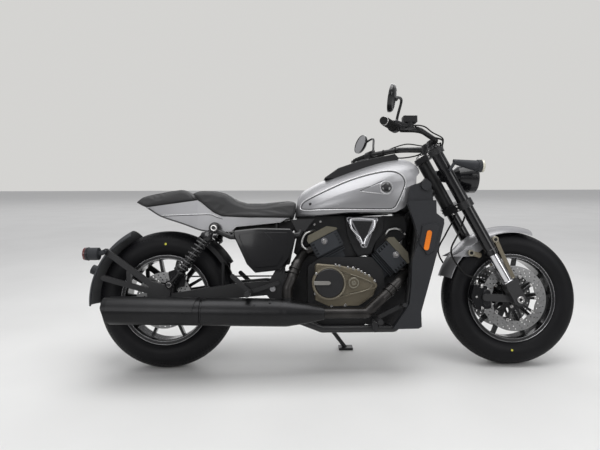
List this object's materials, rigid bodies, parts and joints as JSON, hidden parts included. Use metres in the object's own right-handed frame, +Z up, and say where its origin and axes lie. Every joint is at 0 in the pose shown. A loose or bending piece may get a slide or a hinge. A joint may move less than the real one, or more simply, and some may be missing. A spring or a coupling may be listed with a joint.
{
  "type": "cruiser motorcycle",
  "caption": "Low V-twin cruiser motorcycle leaning on its side stand, with turning wheels, steering fork and folding stand.",
  "frame": {"origin": "on the floor, under the middle of the parked motorcycle's bounding box", "axes": "+X to the front, +Y to the rider's left, +Z up; the motorcycle leans 9 degrees towards +Y on its side stand"},
  "size_m": [2.2513, 0.9174, 1.226],
  "materials": {
    "battery_box": "matte",
    "belly_pan": "matte",
    "clutch_cover": "satin",
    "clutch_disc": "satin",
    "controls": "matte",
    "drive_belt": "matte",
    "engine_case": "satin",
    "exhaust_pipes": "satin",
    "fender_bracket": "satin",
    "fender_stays": "satin",
    "foot_controls": "satin",
    "fork_lowers": "polished",
    "fork_uppers": "gloss",
    "frame_cradle": "satin",
    "frame_spine": "satin",
    "front_axle": "plain",
    "front_calipers": "gloss",
    "front_cylinder": "satin",
    "front_discs": "brushed",
    "front_fender": "satin metallic",
    "front_indicators": "matte",
    "front_rim": "gloss",
    "front_tyre": "satin",
    "generator_cover": "satin",
    "grips": "matte",
    "handlebar": "satin",
    "head_bands": "satin",
    "headlight": "gloss",
    "hoses": "satin",
    "hugger": "matte",
    "intake_cover": "polished",
    "mirrors": "satin",
    "muffler": "satin",
    "pillion_pad": "matte",
    "radiator": "matte",
    "radiator_shroud": "matte",
    "rear_axle": "plain",
    "rear_caliper": "gloss",
    "rear_cylinder": "satin",
    "rear_disc": "brushed",
    "rear_fender": "matte",
    "rear_lamps": "matte",
    "rear_pulley": "satin",
    "rear_rim": "gloss",
    "rear_tyre": "satin",
    "reflectors": "gloss",
    "rider_seat": "matte",
    "shocks": "gloss",
    "side_covers": "satin",
    "side_stand": "satin",
    "swingarm": "satin",
    "swingarm_pivot": "plain",
    "tail_cowl": "satin metallic",
    "tank": "satin metallic",
    "tank_console": "matte",
    "yokes": "satin"
  },
  "bodies": {
    "frame": {"battery_box": "battery_box", "belly_pan": "belly_pan", "clutch_cover": "clutch_cover", "clutch_disc": "clutch_disc", "drive_belt": "drive_belt", "engine_case": "engine_case", "exhaust_pipes": "exhaust_pipes", "fender_bracket": "fender_bracket", "foot_controls": "foot_controls", "frame_cradle": "frame_cradle", "frame_spine": "frame_spine", "front_cylinder": "front_cylinder", "generator_cover": "generator_cover", "head_bands": "head_bands", "hugger": "hugger", "intake_cover": "intake_cover", "muffler": "muffler", "pillion_pad": "pillion_pad", "radiator": "radiator", "radiator_shroud": "radiator_shroud", "rear_axle": "rear_axle", "rear_caliper": "rear_caliper", "rear_cylinder": "rear_cylinder", "rear_fender": "rear_fender", "rear_lamps": "rear_lamps", "reflectors": "reflectors", "rider_seat": "rider_seat", "shocks": "shocks", "side_covers": "side_covers", "swingarm": "swingarm", "swingarm_pivot": "swingarm_pivot", "tail_cowl": "tail_cowl", "tank": "tank", "tank_console": "tank_console"},
    "steering": {"fork_uppers": "fork_uppers", "fork_lowers": "fork_lowers", "yokes": "yokes", "handlebar": "handlebar", "grips": "grips", "controls": "controls", "mirrors": "mirrors", "headlight": "headlight", "front_indicators": "front_indicators", "front_fender": "front_fender", "fender_stays": "fender_stays", "front_calipers": "front_calipers", "front_axle": "front_axle", "hoses": "hoses"},
    "front_wheel": {"front_tyre": "front_tyre", "front_rim": "front_rim", "front_discs": "front_discs"},
    "rear_wheel": {"rear_tyre": "rear_tyre", "rear_rim": "rear_rim", "rear_disc": "rear_disc", "rear_pulley": "rear_pulley"},
    "side_stand": {"side_stand": "side_stand"}
  },
  "joints": [
    {"name": "steering", "type": "hinge", "parent": "frame", "child": "steering", "pos_m": [0.54991, -0.06161, 0.72309], "axis": [-0.4695, 0.1381, 0.8721], "range_deg": [-33, 33]},
    {"name": "front_wheel_spin", "type": "hinge", "parent": "steering", "child": "front_wheel", "pos_m": [0.8182, -0.12788, 0.30467], "axis": [0, 0.9877, -0.1564], "continuous": true},
    {"name": "rear_wheel_spin", "type": "hinge", "parent": "frame", "child": "rear_wheel", "pos_m": [-0.7618, -0.12718, 0.30912], "axis": [0, 0.9877, -0.1564], "continuous": true},
    {"name": "side_stand_fold", "type": "hinge", "parent": "frame", "child": "side_stand", "pos_m": [-0.0418, 0.00423, 0.17997], "axis": [0.092, 0.9575, 0.2735], "range_deg": [0, 115]}
  ]
}
